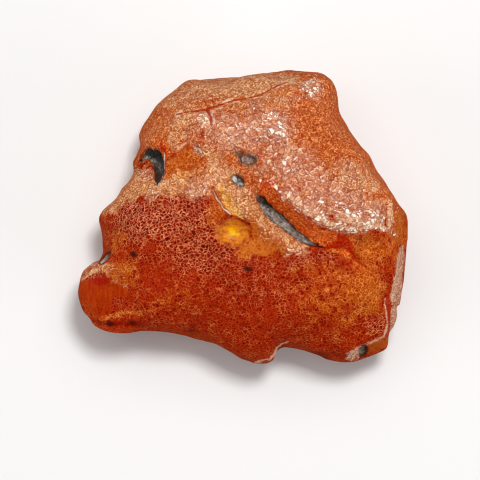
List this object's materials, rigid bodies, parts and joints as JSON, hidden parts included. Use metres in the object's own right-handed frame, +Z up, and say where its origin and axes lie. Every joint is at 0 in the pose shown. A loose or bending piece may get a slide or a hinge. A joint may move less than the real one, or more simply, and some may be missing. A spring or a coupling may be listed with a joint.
{
  "type": "raw amber",
  "caption": "Irregular lump of raw amber with a finely cracked crust, a raised lobe over a crevice, a clear chip and dark earthy matter caught in its hollows.",
  "frame": {"origin": "under the middle of the bounding box, in the plane of the flat spot that the lump rests on", "axes": "+X along the lump's longest side, +Y across it towards the raised lobe, +Z up, through its thickness, to the cracked front face"},
  "size_m": [0.052, 0.0464, 0.025],
  "materials": {
    "amber": "satin",
    "dark_fill": "matte"
  },
  "bodies": {
    "root": {"amber": "amber", "crevice_fill": "dark_fill", "left_pocket_fill": "dark_fill", "upper_pit_fill": "dark_fill", "middle_pit_fill": "dark_fill", "edge_pit_fill": "dark_fill", "corner_pit_fill": "dark_fill"}
  },
  "joints": []
}
